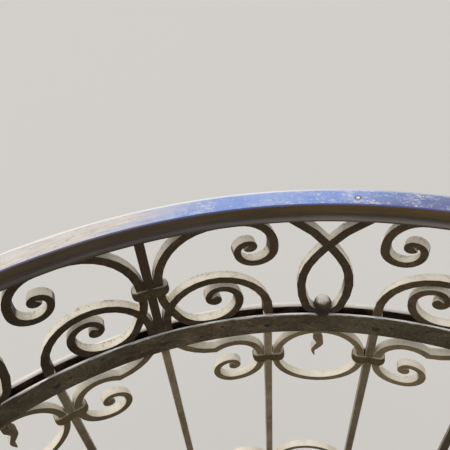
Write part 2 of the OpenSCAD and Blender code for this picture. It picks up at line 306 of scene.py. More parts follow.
def paintedIron(name, look):
    # old dark paint on forged iron, with a pale layer on the faces that lie open to the sky: dust, and
    # painted sky light on it
    material, tree, shader, coords, normal = newMaterial(name)
    layer = ironLayers
    along, away, z = bowPlace(tree, coords)
    grain = coords
    if "grain" in look:
        grain = stretched(tree, joined(tree, along, away, z), (look["grain"], 1.0, 1.0))
    broad = noise(tree, coords, *layer["broad"])
    middle = noise(tree, grain, *layer["middle"])
    fine = noise(tree, grain, *layer["fine"])
    inward = facingAxis(tree, normal, coords)

    paint = mixColour(tree, between(tree, broad, layer["warm"]), look["paint"], look["paintWarm"])
    faded = between(tree, middle, layer["faded"], 0.0, look["fadedAmount"])
    paint = mixColour(tree, faded, paint, look["faded"])
    rust = times(tree, between(tree, middle, layer["rustMiddle"]), between(tree, fine, layer["rustFine"]))
    paint = mixColour(tree, times(tree, rust, look["rustAmount"]), paint, look["rust"])
    flecks = between(tree, fine, layer["fleck"], 0.0, look["flecked"])
    paint = mixColour(tree, flecks, paint, look["fleck"])
    if "above" in look:
        low, high = (bow["middleTop"] + edge for edge in layer["above"])
        higher = mapRange(tree, z, low, high, smooth=True)
        paint = mixColour(tree, times(tree, higher, layer["aboveAmount"]), paint, look["above"])
    tone = mapRange(tree, along, *layer["sides"], look["toneLeft"], look["toneRight"], smooth=True)
    if "toneAlong" in look:
        # places from one side of the bow to the other, and half the tone at each
        halfTone = ramp(tree, mapRange(tree, along, *layer["wholeBow"]), look["toneAlong"])
        tone = times(tree, tone, times(tree, halfTone, 2.0))
    # brighter lower down: on the uprights, painted shade just under the middle rail
    if "toneBelow" in look:
        tone = times(tree, tone, mapRange(tree, z, *layer["below"], 1.0, look["toneBelow"]))
    grimy = mapRange(tree, fine, *layer["grimy"], 1.0 - look["grimy"], 1.0 + look["grimy"])
    paint = scaled(tree, paint, times(tree, tone, grimy))
    # painted shade in the slot between the two bars: faces that look at the bow's axis are painted dark,
    # with some rust
    if "gap" in look:
        shaded = between(tree, middle, layer["gap"], look["gap"], look["gapRust"])
        paint = mixColour(tree, mapRange(tree, inward, *layer["gapInward"]), paint, shaded)

    # the pale layer: dust with painted sky light, on faces towards the light; faces that look at the bow's
    # axis lose it and stay dark as painted shade
    sky = plus(tree, facing(tree, normal, look["dustAndSheenToward"]), swing(tree, middle, look["dustAndSheenDrift"]))
    sky = minus(tree, sky, times(tree, maths(tree, "MAXIMUM", inward, 0.0), look["edgeBare"]))
    lying = mapRange(tree, sky, look["dustAndSheenFrom"], look["dustAndSheenFull"], smooth=True)
    # more of the pale layer has gone towards the outer side of the bars
    outward = mapRange(tree, away, bow["radius"] + layer["outwardFrom"], bow["radius"] + bow["half"],
                       smooth=True)
    wear = mapRange(tree, outward, 0.0, 1.0, layer["innerWear"], look["outerWear"])
    broken = times(tree, brokenDustAndSheen(tree, coords, broad, middle, fine),
                   times(tree, wear, 1.0 - look["dustAndSheenWhole"]), clamp=True)
    dustAndSheen = times(tree, lying, minus(tree, 1.0, broken))
    dustAndSheen = times(tree, dustAndSheen, look["dustAndSheenAmount"], clamp=True)
    dustAndSheenTone = mixColour(tree, between(tree, middle, layer["cool"]), look["dustAndSheen"], look["dustAndSheenCool"])
    dustAndSheenTone = scaled(tree, dustAndSheenTone, mapRange(tree, outward, 0.0, 1.0, 1.0, look["dustAndSheenOuter"]))
    colour = mixColour(tree, dustAndSheen, paint, dustAndSheenTone)
    if "ball" in look:
        up = facing(tree, normal, (0, 0, 1))
        colour = ballTone(tree, colour, look["ball"], along, z, up, middle, fine)
    link(tree, colour, shader.inputs["Base Color"])

    rough = mapRange(tree, middle, *layer["rough"],
                     look["roughness"] - layer["smoother"], look["roughness"] + layer["rougher"])
    rough = plus(tree, rough, times(tree, dustAndSheen, layer["dustAndSheenRougher"]), clamp=True)
    link(tree, rough, shader.inputs["Roughness"])
    shader.inputs["Specular IOR Level"].default_value = look["gloss"]
    shader.inputs["Specular Tint"].default_value = (*look["glossTint"], 1)
    hammerMarks(tree, coords, middle, fine, look, shader)
    return material


# The same for the handrail. Its streaks have three scales: along, across and up the rail. Line and
# turnAcross start with distances from the bow's axis, and high is below the rail's top
railLayers = {
    "broad": (11.0, 5.0, 0.6), "middle": (60.0, 6.0, 0.62), "fine": (380.0, 5.0, 0.7),
    "brushed": ((26.0, 330.0, 330.0), 5.0, 0.65), "drawn": ((9.0, 120.0, 120.0), 4.0, 0.6),
    "flaked": ((95.0, 260.0, 260.0), 7.0, 0.72, 0.6),
    "sideSwing": 0.05, "round": (0.02, -0.38), "sideDrawn": (0.3, 0.7, 0.74, 1.26),
    "sideSpeck": (0.64, 0.74), "sideSpecked": 0.5,
    "turnSwing": 0.16, "turnAcross": (0.842, 0.824, 0.0, 0.06), "grey": (0.36, 0.66), "pale": (0.38, 0.62),
    "rubbedMiddle": (0.48, 0.66), "rubbedBrushed": (0.46, 0.60),
    "grimeFine": (0.34, 0.43), "grimeBrushed": (0.40, 0.52), "grimeAmount": 0.8,
    "flake": (0.53, 0.58), "flakeMiddle": (0.44, 0.58), "flakeAmount": 0.65,
    "speck": (0.59, 0.67), "specked": 0.9,
    "line": (0.8510, 0.8555), "lineFades": (-0.22, -0.38, 0.95, 0.35),
    "high": (0.012, 0.009), "onRound": (0.30, 0.70), "onTop": (0.80, 0.97),
    "chipSwing": 0.9, "chipBare": [(0.0, 0.8), (0.45, 0.8), (0.62, 0.0)],
    "chipRim": [(0.45, 0.0), (0.58, 0.8), (0.78, 0.8), (0.95, 0.0)],
    "rough": (0.3, 0.7), "smoother": 0.08, "rougher": 0.14,
}


def chipped(tree, colour, coords, fine, look):
    # chips where the paint has gone, each with a rusty rim
    for angle, radius, size in look["chips"]:
        middle = onBow(angle, radius, bow["handrailTop"])
        apart = vectorMaths(tree, "DISTANCE", coords, middle)["Value"]
        ring = plus(tree, maths(tree, "DIVIDE", apart, size), swing(tree, fine, railLayers["chipSwing"]))
        colour = mixColour(tree, ramp(tree, ring, railLayers["chipBare"]), colour, look["speck"])
        colour = mixColour(tree, ramp(tree, ring, railLayers["chipRim"]), colour, look["rust"])
    return colour


def handrailPaint(name, look):
    # the handrail's top is worn paint with a painted reflection of the sky on it: cream at one side of the
    # bow, sky blue round the other
    material, tree, shader, coords, normal = newMaterial(name)
    layer = railLayers
    along, away, z = bowPlace(tree, coords)
    rail = joined(tree, along, away, z)
    up = facing(tree, normal, (0, 0, 1))
    broad = noise(tree, coords, *layer["broad"])
    middle = noise(tree, coords, *layer["middle"])
    fine = noise(tree, coords, *layer["fine"])
    brushed = streaks(tree, rail, *layer["brushed"])
    drawn = streaks(tree, rail, *layer["drawn"])

    # side: brown below the corner, ochre further round, then a greyer bead with a painted highlight, and
    # painted shade in the dark band under it
    depth = mapRange(tree, z, bow["handrailTop"], bow["handrailTop"] - look["high"])
    depth = plus(tree, depth, swing(tree, brushed, layer["sideSwing"]))
    right = mapRange(tree, along, *layer["round"], smooth=True)
    sides = (ramp(tree, depth, look["sideSteps"]), ramp(tree, depth, look["sideStepsRound"]))
    side = mixColour(tree, right, *sides)
    side = scaled(tree, side, mapRange(tree, drawn, *layer["sideDrawn"]))
    specks = between(tree, fine, layer["sideSpeck"], 0.0, layer["sideSpecked"])
    side = mixColour(tree, specks, side, look["rubbed"])

    # top: the painted sky reflection turns blue past the middle of the bow and goes dull further round
    turn = plus(tree, along, swing(tree, drawn, layer["turnSwing"]))
    turn = minus(tree, turn, mapRange(tree, away, *layer["turnAcross"]))
    skyBlueReflection = mapRange(tree, turn, look["blueFrom"], look["blueFull"], smooth=True)
    dullness = mapRange(tree, turn, look["dullFrom"], look["dullFull"], smooth=True)
    cream = mixColour(tree, between(tree, brushed, layer["grey"]), look["cream"], look["creamGrey"])
    blue = mixColour(tree, between(tree, broad, layer["pale"]), look["blue"], look["paleBlue"])
    blue = mixColour(tree, dullness, blue, look["dullBlue"])
    top = mixColour(tree, skyBlueReflection, cream, blue)
    rubbed = times(tree, between(tree, middle, layer["rubbedMiddle"]),
                   between(tree, brushed, layer["rubbedBrushed"]))
    top = mixColour(tree, times(tree, rubbed, look["wear"]), top, look["rubbed"])
    grime = times(tree, between(tree, fine, layer["grimeFine"], 1.0, 0.0),
                  between(tree, brushed, layer["grimeBrushed"], 1.0, 0.0))
    top = mixColour(tree, times(tree, grime, layer["grimeAmount"]), top, look["grime"])
    # lifted flakes, cool on the cream part and cream on the blue part
    flakes = times(tree, between(tree, streaks(tree, rail, *layer["flaked"]), layer["flake"]),
                   between(tree, middle, layer["flakeMiddle"]))
    flakeTone = mixColour(tree, skyBlueReflection, look["flakeCool"], look["speck"])
    top = mixColour(tree, times(tree, flakes, layer["flakeAmount"]), top, flakeTone)
    # near-white specks on the top: painted glints
    top = mixColour(tree, between(tree, fine, layer["speck"], 0.0, layer["specked"]), top, look["speck"])
    # a painted highlight along the outer edge, fainter round the bow
    outer = times(tree, mapRange(tree, away, *layer["line"], smooth=True),
                  mapRange(tree, along, *layer["lineFades"]))
    top = mixColour(tree, outer, top, look["edgeHighlight"])
    # the rounded inner corner: painted reflection of the sky, deeper blue than the top
    rounded = mixColour(tree, skyBlueReflection, look["cornerCream"], look["cornerBlue"])
    rounded = mixColour(tree, outer, rounded, look["edgeHighlight"])

    high = mapRange(tree, z, *(bow["handrailTop"] - below for below in layer["high"]))
    onRound = times(tree, mapRange(tree, up, *layer["onRound"], smooth=True), high)
    colour = mixColour(tree, onRound, side, rounded)
    onTop = times(tree, mapRange(tree, up, *layer["onTop"], smooth=True), high)
    colour = mixColour(tree, onTop, colour, top)
    link(tree, chipped(tree, colour, coords, fine, look), shader.inputs["Base Color"])

    rough = mapRange(tree, brushed, *layer["rough"],
                     look["roughness"] - layer["smoother"], look["roughness"] + layer["rougher"])
    link(tree, rough, shader.inputs["Roughness"])
    shader.inputs["Specular IOR Level"].default_value = look["gloss"]
    hammerMarks(tree, coords, middle, fine, look, shader)
    return material


# Looks: linear colours; toneLeft and toneRight are brightness at the picture's left and right, +X and
# -X. The pale layer is dust with painted sky light on it: it sets in from its From value to its Full
# value as a face turns towards its Toward direction. Its Whole value is how much of it stays in cracks
# and specks, outerWear takes more on the bars' outer side, and edgeBare clears it off faces that look
# at the bow's axis, which stay dark as painted shade
scrollLook = {
    "paint": (0.031, 0.019, 0.009), "paintWarm": (0.046, 0.030, 0.015), "faded": (0.085, 0.064, 0.042),
    "fadedAmount": 0.6, "rust": (0.13, 0.055, 0.020), "rustAmount": 0.5, "fleck": (0.16, 0.13, 0.095),
    "flecked": 0.5, "toneLeft": 0.70, "toneRight": 1.80, "grimy": 0.25,
    "dustAndSheen": (1.0, 0.90, 0.73), "dustAndSheenCool": (0.95, 0.85, 0.70), "dustAndSheenOuter": 0.84, "outerWear": 2.6,
    "edgeBare": 0.7, "dustAndSheenDrift": 0.22, "dustAndSheenToward": (0, 0, 1), "dustAndSheenFrom": -0.12, "dustAndSheenFull": 0.28,
    "dustAndSheenWhole": 0.74, "dustAndSheenAmount": 1.0, "roughness": 0.52, "gloss": 0.25, "glossTint": (1.0, 0.82, 0.60),
    "hammer": 0.25, "hammerScale": 62.0, "grit": 0.3,
}
loopLook = dict(
    scrollLook, paint=(0.036, 0.024, 0.012), paintWarm=(0.050, 0.034, 0.018), toneLeft=0.85, toneRight=1.15,
    # a ball in every bay: its reach along the bow, and where it starts and ends above the middle rail;
    # its tones run from painted shade underneath to a painted highlight on top
    ball={"every": math.radians(1.5 * bow["step"]) * bow["radius"], "reach": 0.0180, "full": 0.0165,
          "heights": ((0.041, 0.039), (0.003, 0.006)),
          "tones": [(0.22, (0.020, 0.013, 0.007)), (0.55, (0.046, 0.032, 0.020)),
                    (0.78, (0.085, 0.066, 0.047)), (0.86, (0.42, 0.37, 0.31)), (0.95, (0.80, 0.74, 0.66))]},
)
railLook = dict(
    scrollLook, paint=(0.050, 0.034, 0.020), paintWarm=(0.090, 0.072, 0.042), dustAndSheen=(0.72, 0.66, 0.59),
    faded=(0.13, 0.110, 0.078), fleck=(0.26, 0.22, 0.165), grain=0.45, grimy=0.45, toneLeft=0.93,
    toneRight=1.0, toneAlong=[(0.30, 0.50), (0.44, 0.58), (0.58, 0.84), (0.70, 0.66), (0.84, 0.50)],
)
# rivets: a painted highlight on their upper side, and darker paint that leaves their undersides dark as
# painted shade
rivetLook = dict(
    scrollLook, paint=(0.022, 0.015, 0.008), paintWarm=(0.030, 0.021, 0.012), dustAndSheen=(0.20, 0.17, 0.13),
    dustAndSheenCool=(0.13, 0.11, 0.085), dustAndSheenFrom=0.35, dustAndSheenFull=0.85, edgeBare=0.0, toneLeft=0.9, toneRight=1.2,
)
# outer bar: dust with painted sky light on its rounded top; its face inside the slot between the bars is
# painted dark as shade, with rust
outerRailLook = dict(
    railLook, dustAndSheen=(1.0, 0.93, 0.84), dustAndSheenCool=(0.92, 0.85, 0.77), dustAndSheenFrom=0.05, dustAndSheenFull=0.20,
    dustAndSheenWhole=1.0, dustAndSheenOuter=1.0, outerWear=1.0, edgeBare=0.25, gap=(0.034, 0.021, 0.010),
    gapRust=(0.13, 0.086, 0.050), gloss=0.08,
)
# inner bar: a thin near-white line along its top edge, dust with a painted highlight
innerRailLook = dict(
    railLook, dustAndSheen=(1.0, 0.97, 0.92), dustAndSheenCool=(0.94, 0.90, 0.84), dustAndSheenFrom=0.55, dustAndSheenFull=0.75,
    dustAndSheenWhole=0.7, dustAndSheenDrift=0.5, dustAndSheenOuter=1.0, outerWear=1.0, edgeBare=0.15,
)
# underbars near black: painted shade under the handrail
underbarLook = dict(railLook, paint=(0.013, 0.009, 0.005), paintWarm=(0.019, 0.014, 0.008), dustAndSheenAmount=0.4)
# uprights: toneAlong paints light and shade on them round the bow, and toneBelow brightens them towards the
# floor, away from the painted shade under the middle rail
barLook = dict(
    scrollLook, paint=(0.125, 0.096, 0.055), paintWarm=(0.185, 0.145, 0.086), faded=(0.26, 0.21, 0.145),
    above=(0.022, 0.012, 0.006), toneLeft=1.0, toneRight=1.0, toneBelow=1.25,
    toneAlong=[(0.34, 0.50), (0.50, 0.62), (0.658, 0.84), (0.815, 0.50), (0.974, 0.20)],
)
plainBarLook = dict(barLook, toneLeft=1.15, toneRight=1.15)
# pale chamfers on the uprights: wear, with a painted highlight along the edges
barEdgeLook = dict(
    barLook, paint=(0.36, 0.32, 0.26), paintWarm=(0.46, 0.42, 0.35), faded=(0.60, 0.56, 0.50),
)
fieldLook = dict(
    scrollLook, paint=(0.118, 0.083, 0.042), paintWarm=(0.165, 0.122, 0.064), faded=(0.23, 0.18, 0.12),
    fleck=(0.42, 0.36, 0.28), dustAndSheenOuter=0.95, dustAndSheenWhole=0.88, toneLeft=0.80, toneRight=1.45,
)
# paler chamfers on the lower scrolls and drops: wear, with a painted highlight
fieldEdgeLook = dict(fieldLook, paint=(0.17, 0.13, 0.085), paintWarm=(0.24, 0.19, 0.13))
# the drops take the pale layer on facets that face +X as well: painted light from that side
dropLook = dict(
    fieldLook, paint=(0.118, 0.077, 0.042), dustAndSheenToward=(0.9, 0, 1), dustAndSheenFrom=-0.05, dustAndSheenFull=0.25,
    edgeBare=0.35,
)
collarLook = dict(
    scrollLook, paint=(0.034, 0.023, 0.011), paintWarm=(0.064, 0.043, 0.019), rustAmount=0.8,
    dustAndSheen=(0.62, 0.54, 0.43), dustAndSheenFrom=0.30, dustAndSheenFull=0.85, edgeBare=1.3, dustAndSheenAmount=0.7, toneLeft=0.95,
    toneRight=1.2,
)
fieldCollarLook = dict(
    collarLook, paint=(0.072, 0.051, 0.022), paintWarm=(0.115, 0.083, 0.036), toneLeft=1.1, toneRight=0.9,
)
# paler chamfers on the other bay pieces and the welds: wear, with a painted highlight
wornAndHighlitEdgeLook = dict(scrollLook, paint=(0.052, 0.036, 0.021), paintWarm=(0.078, 0.058, 0.037))
frameLook = dict(
    scrollLook, flecked=0.2, dustAndSheen=(0.40, 0.37, 0.32), dustAndSheenCool=(0.30, 0.28, 0.25), dustAndSheenAmount=0.7,
    toneLeft=1.2, toneRight=1.2,
)
floorLook = dict(
    scrollLook, paint=(0.045, 0.038, 0.031), paintWarm=(0.062, 0.052, 0.041), dustAndSheen=(0.17, 0.155, 0.135),
    dustAndSheenCool=(0.10, 0.094, 0.086), dustAndSheenAmount=0.65, dustAndSheenWhole=0.35, rustAmount=0.8, flecked=0.15,
    toneLeft=1.0, toneRight=1.0,
)
handrailLook = {
    # colours down the rail's side over this height, and the same further round the bow; the bead's lighter
    # steps are a painted highlight and the last, darkest step is painted shade under it
    "high": 0.035,
    "sideSteps": [(0.20, (0.080, 0.047, 0.020)), (0.48, (0.069, 0.044, 0.021)),
                  (0.60, (0.062, 0.044, 0.028)), (0.72, (0.110, 0.090, 0.080)),
                  (0.80, (0.084, 0.064, 0.048)), (0.90, (0.024, 0.016, 0.009))],
    "sideStepsRound": [(0.20, (0.112, 0.062, 0.016)), (0.48, (0.086, 0.052, 0.016)),
                       (0.60, (0.055, 0.040, 0.021)), (0.70, (0.130, 0.108, 0.090)),
                       (0.80, (0.200, 0.165, 0.135)), (0.90, (0.036, 0.025, 0.014))],
    "cream": (0.87, 0.78, 0.68), "creamGrey": (0.60, 0.53, 0.48), "blue": (0.25, 0.36, 0.74),
    "paleBlue": (0.38, 0.47, 0.78), "dullBlue": (0.17, 0.19, 0.36), "rubbed": (0.62, 0.61, 0.66),
    "speck": (0.90, 0.88, 0.87), "grime": (0.23, 0.20, 0.19), "flakeCool": (0.46, 0.43, 0.44),
    "edgeHighlight": (1.0, 0.98, 0.96), "cornerCream": (0.19, 0.18, 0.36), "cornerBlue": (0.11, 0.14, 0.34),
    "rust": (0.13, 0.055, 0.020), "wear": 0.6, "blueFrom": 0.03, "blueFull": -0.15, "dullFrom": -0.30,
    "dullFull": -0.50,
    # angle, distance from the bow's axis, and size
    "chips": [(-23.5, 0.836, 0.006), (-30.0, 0.848, 0.003), (34.0, 0.842, 0.003), (61.0, 0.833, 0.004)],
    "roughness": 0.38, "gloss": 0.3, "hammer": 0.10, "hammerScale": 62.0, "grit": 0.3,
}

finishes = {
    "handrail_iron": handrailPaint("handrailPaint", handrailLook),
    "bar_iron": paintedIron("barPaint", barLook),
    "top_scroll_iron": paintedIron("topScrollPaint", scrollLook),
    "field_scroll_iron": paintedIron("fieldScrollPaint", fieldLook),
    "floor_iron": paintedIron("floorPaint", floorLook),
    "frame_iron": paintedIron("framePaint", frameLook),
}
loopPaint = paintedIron("loopPaint", loopLook)
collarPaint = paintedIron("collarPaint", collarLook)
fieldCollarPaint = paintedIron("fieldCollarPaint", fieldCollarLook)
rivetPaint = paintedIron("rivetPaint", rivetLook)
wornAndHighlitEdge = paintedIron("wornAndHighlitEdgePaint", wornAndHighlitEdgeLook)
fieldEdge = paintedIron("fieldEdgePaint", fieldEdgeLook)
barEdge = paintedIron("barEdgePaint", barEdgeLook)
ownPaint = {
    "handrail_underbars": paintedIron("underbarPaint", underbarLook),
    "middle_rail_outer_bar": paintedIron("outerRailPaint", outerRailLook),
    "middle_rail_inner_bar": paintedIron("innerRailPaint", innerRailLook),
    "plain_balusters": paintedIron("plainBarPaint", plainBarLook),
    "middle_drops": paintedIron("dropPaint", dropLook),
    "baluster_feet": paintedIron("footPaint", dict(frameLook, toneLeft=1.5, toneRight=1.5)),
}
for end in ("rail_outer_bar", "rail_inner_bar", "drops"):
    ownPaint["bottom_" + end] = ownPaint["middle_" + end]
print("materials made")


# CAD nodes keep their shape and get a finish, and edges softened by wear

edges = {"width": 0.0010, "railWidth": 0.0012, "segments": 1, "angle": 40.0, "sharp": 30.0,
         "weld": 0.00002, "addedSharp": 38.0}


def edgePaint(name):
    # edges paler than the faces: wear, with a painted highlight along them
    if "balusters" in name:
        return barEdge
    if any(part in name for part in ("middle_scrolls", "bottom_scrolls", "drops")):
        return fieldEdge
    return wornAndHighlitEdge if name.startswith("bay_") else None


def smoothShading(sharpFrom):
    # round faces shade smoothly, and edges sharper than the given angle stay crisp
    group = bpy.data.node_groups.new("smoothShading", "GeometryNodeTree")
    for way in ("INPUT", "OUTPUT"):
        group.interface.new_socket("Geometry", in_out=way, socket_type="NodeSocketGeometry")
    start, end = group.nodes.new("NodeGroupInput"), group.nodes.new("NodeGroupOutput")
    clear = group.nodes.new("GeometryNodeRemoveAttribute")
    clear.inputs["Name"].default_value = "custom_normal"
    faces = group.nodes.new("GeometryNodeSetShadeSmooth")
    faces.domain = "FACE"
    sharp = group.nodes.new("GeometryNodeSetShadeSmooth")
    sharp.domain = "EDGE"
    sharp.inputs["Shade Smooth"].default_value = False
    angle = group.nodes.new("GeometryNodeInputMeshEdgeAngle")
    over = group.nodes.new("ShaderNodeMath")
    over.operation = "GREATER_THAN"
    over.inputs[1].default_value = math.radians(sharpFrom)
    group.links.new(start.outputs[0], clear.inputs["Geometry"])
    group.links.new(clear.outputs["Geometry"], faces.inputs["Geometry"])
    group.links.new(faces.outputs["Geometry"], sharp.inputs["Geometry"])
    group.links.new(angle.outputs["Unsigned Angle"], over.inputs[0])
    group.links.new(over.outputs[0], sharp.inputs["Selection"])
    group.links.new(sharp.outputs["Geometry"], end.inputs[0])
    return group


shading = smoothShading(edges["sharp"])
slotOf = {s["node"]: s["material_slot"] for s in frame["record"]["subparts"]}
for name, piece in nodes.items():
    finish = ownPaint.get(name) or (loopPaint if name.endswith("_loop") else finishes[slotOf[name]])
    piece.data.materials.clear()
    piece.data.materials.append(finish)
    weld = piece.modifiers.new("weld", "WELD")
    weld.merge_threshold = edges["weld"]
    soften = piece.modifiers.new("soften", "BEVEL")
    soften.width = edges["railWidth"] if name.endswith("inner_bar") else edges["width"]
    soften.segments = edges["segments"]
    soften.limit_method = "ANGLE"
    soften.angle_limit = math.radians(edges["angle"])
    edge = edgePaint(name)
    if edge:
        piece.data.materials.append(edge)
        soften.material = 1
    piece.modifiers.new("shading", "NODES").node_group = shading
print("CAD nodes finished")


# Pieces made here are gathered as points and faces and turned into one mesh each

class Shape:
    def __init__(self):
        self.points = []
        self.faces = []

    def add(self, points, faces):
        start = len(self.points)
        self.points += [tuple(p) for p in points]
        self.faces += [tuple(i + start for i in face) for face in faces]

    def grid(self, rows, closedAlong=False):
        # closed rings of points, each joined to the next by four-sided faces
        around = len(rows[0])
        faces = []
        for r in range(len(rows) if closedAlong else len(rows) - 1):
            here, there = r * around, (r + 1) % len(rows) * around
            for c in range(around):
                after = (c + 1) % around
                faces.append((here + c, here + after, there + after, there + c))
        self.add([p for row in rows for p in row], faces)

    def piece(self, name, material, slot, body="root"):
        mesh = bpy.data.meshes.new(name)
        mesh.from_pydata(self.points, [], self.faces)
        mesh.validate()
        mesh.materials.append(material)
        mesh.polygons.foreach_set("use_smooth", [True] * len(mesh.polygons))
        mesh.set_sharp_from_angle(angle=math.radians(edges["addedSharp"]))
        made = bpy.data.objects.new(name, mesh)
        scene.collection.objects.link(made)
        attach(made, body)
        return made


def turned(shape, middle, out, outline, sides):
    # an outline of (radius, distance along out) turned round; six sides make a nut
    side = out.orthogonal().normalized()
    other = out.cross(side)
    angles = [2 * math.pi * i / sides for i in range(sides)]
    shape.grid([[middle + out * high + (side * math.cos(a) + other * math.sin(a)) * radius for a in angles]
                for radius, high in outline])


def dome(shape, middle, out, radius, height, sides, rings):
    # a rivet head on a surface that looks along out, its top a hair short of a point
    outline = []
    for r in range(rings + 1):
        g = math.radians(90) * r / rings
        outline.append((radius * math.cos(g) * 0.999 + 0.00001, height * math.sin(g)))
    turned(shape, middle, out.normalized(), outline, sides)


def steadyRandom(*key):
    # the same number from 0 to 1 for the same key, from the digits of a large sine
    return (math.sin(sum((i + 1) * 12.9898 * k for i, k in enumerate(key)) + 4.1) * 43758.5453) % 1.0


# Collars: forged bands round the bars, with thick rounded ends and a pinch in the middle

band = {"high": 0.0205, "thick": 0.0092, "corner": 0.0040, "cornerSteps": 5, "longSide": 0.006,
        "longSteps": 12, "endSwell": 1.0, "faceThin": 0.92, "roundness": 0.7, "pinch": 0.60,
        "pinchHigh": 0.12, "pinchWide": 0.0050, "section": 11, "uneven": 0.0008, "unevenScale": 90,
        "reach": 0.023, "ringReach": 0.0245}


def roundedPath(x0, x1, deep):
    # points and outward directions round a rectangle with rounded corners
    corner, steps = band["corner"], band["cornerSteps"]
    path = []
    for cx, cy, start in ((x1 - corner, deep - corner, 0), (x0 + corner, deep - corner, 90),
                          (x0 + corner, -deep + corner, 180), (x1 - corner, -deep + corner, 270)):
        for i in range(steps + 1):
            g = math.radians(start + 90 * i / steps)
            path.append((cx + corner * math.cos(g), cy + corner * math.sin(g), math.cos(g), math.sin(g)))
    full = []
    for (ax, ay, au, av), (bx, by, _, _) in zip(path, path[1:] + path[:1]):
        full.append((ax, ay, au, av))
        if math.hypot(bx - ax, by - ay) > band["longSide"]:
            # a long side has points between its ends, so that it can be pinched
            for i in range(1, band["longSteps"]):
                part = i / band["longSteps"]
                full.append((ax + (bx - ax) * part, ay + (by - ay) * part, au, av))
    return full


def addCollar(shape, angle, z, x0, x1):
    along, out, up = bowFrame(angle)
    middle = onBow(angle, bow["radius"], z)
    gap, last = bow["fit"], band["section"] - 1
    rows = []
    for x, y, nx, ny in roundedPath(x0 - gap, x1 + gap, bow["half"] + gap):
        # thick rounded ends, and a pinch where the two ends of the band meet over the middle bar
        pinched = math.exp(-(x / band["pinchWide"]) ** 2) * abs(ny)
        swell = band["faceThin"] + (band["endSwell"] - band["faceThin"]) * abs(nx) ** band["roundness"]
        swell *= 1 - band["pinch"] * pinched
        high = band["high"] * (1 - band["pinchHigh"] * pinched)
        row = []
        for i in range(last + 1):
            g = math.radians(-90 + 180 * i / last)
            off = band["thick"] * swell * math.cos(g) ** band["roundness"] if 0 < i < last else 0.0
            point = middle + along * (x + nx * off) - out * (y + ny * off) + up * (high / 2 * math.sin(g))
            uneven = fractal.noise(point * band["unevenScale"]) * band["uneven"] if off else 0.0
            row.append(point + (along * nx - out * ny) * uneven)
        rows.append(row)
    shape.grid(rows, closedAlong=True)


# angle and both ends of each collar, measured along the bow from its upright
ringCollars = [(a, -band["ringReach"], band["reach"]) if s > 0 else (a, -band["reach"], band["ringReach"])
               for a, s in collared]
collarNodes = {
    "top_scroll_collars": [(a, -bow["half"] if i == 0 else -band["reach"],
                            bow["half"] if i == bow["bays"] else band["reach"])
                           for i, a in enumerate(plainAngles)],
    "middle_scroll_collars": ringCollars,
    "bottom_scroll_collars": ringCollars,
}
for node, places in collarNodes.items():
    low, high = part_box(node)
    onTop = node.startswith("top")
    shape = Shape()
    for angle, x0, x1 in places:
        addCollar(shape, angle, (low[2] + high[2]) / 2, x0, x1)
    made = shape.piece(node.replace("scroll_collars", "bands"), collarPaint if onTop else fieldCollarPaint,
                       "top_scroll_iron" if onTop else "field_scroll_iron")
    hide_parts(node)
print("collars made")


# Rivets: a broad flat one over each baluster, small ones where the scrolls are held

rivets = {
    # radius and height of each kind of head, then its sides and rings
    "big": (0.0074, 0.0028, 14, 4), "back": (0.0058, 0.0022, 14, 4),
    "small": (0.0036, 0.0018, 10, 3), "under": (0.0032, 0.0012, 10, 3),
    "low": 0.002, "scatter": 0.004, "rim": 0.005,
    # distance along the bow from a bay's middle and height above the rail's lower edge
    "smallPlaces": [(0.024, 0.0295), (0.046, 0.0045), (-0.024, 0.0035), (-0.129, 0.030), (0.131, 0.026),
                    (-0.192, 0.041), (0.190, 0.038), (-0.235, 0.017), (0.236, 0.019)],
}


def scatter(*key):
    return rivets["scatter"] * (steadyRandom(*key) - 0.5)


def addRailRivets(shape, railBottom, railTop, key):
    inside = bow["radius"] - bow["half"] - bow["fit"] - bow["innerBar"]
    outside = bow["radius"] + bow["half"] + bow["fit"] + bow["outerBar"]
    reach = 1.5 * bow["bays"] * bow["step"]
    perMetre = math.degrees(1 / bow["radius"])
    for i in range(3 * bow["bays"] + 1):
        angle = (i - 1.5 * bow["bays"]) * bow["step"]
        z = (railBottom + railTop) / 2 - rivets["low"] + scatter(i, key)
        out = bowFrame(angle)[1]
        dome(shape, onBow(angle, inside, z), -out, *rivets["big"])
        dome(shape, onBow(angle, outside, z), out, *rivets["back"])
    for b, bay in enumerate(bayAngles):
        for j, (x, h) in enumerate(rivets["smallPlaces"]):
            angle = bay + (x + scatter(b, j, key)) * perMetre
            if abs(angle) < reach:
                z = max(railBottom + rivets["rim"], railBottom + h + scatter(j, b, key))
                place = onBow(angle, inside, min(railTop - rivets["rim"], z))
                dome(shape, place, -bowFrame(angle)[1], *rivets["small"])


shape = Shape()
addRailRivets(shape, bow["middleBottom"], bow["middleTop"], 1)
addRailRivets(shape, bow["bottomBottom"], bow["bottomTop"], 2)
shape.piece("railRivets", rivetPaint, "rail_iron")

shape = Shape()
underZ = (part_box("handrail_underbars")[0][2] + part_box("handrail_underbars")[1][2]) / 2
for i in range(3 * bow["bays"] * 2 + 1):
    angle = (i / 2 - 1.5 * bow["bays"]) * bow["step"]
    out = bowFrame(angle)[1]
    for side in (-1, 1):
        radius = bow["radius"] + side * (bow["half"] + bow["fit"] + bow["underbar"])
        dome(shape, onBow(angle, radius, underZ - rivets["low"]), out * side, *rivets["under"])
shape.piece("underbarRivets", rivetPaint, "rail_iron")
print("rivets made")


# Anchors, floor screws and welds

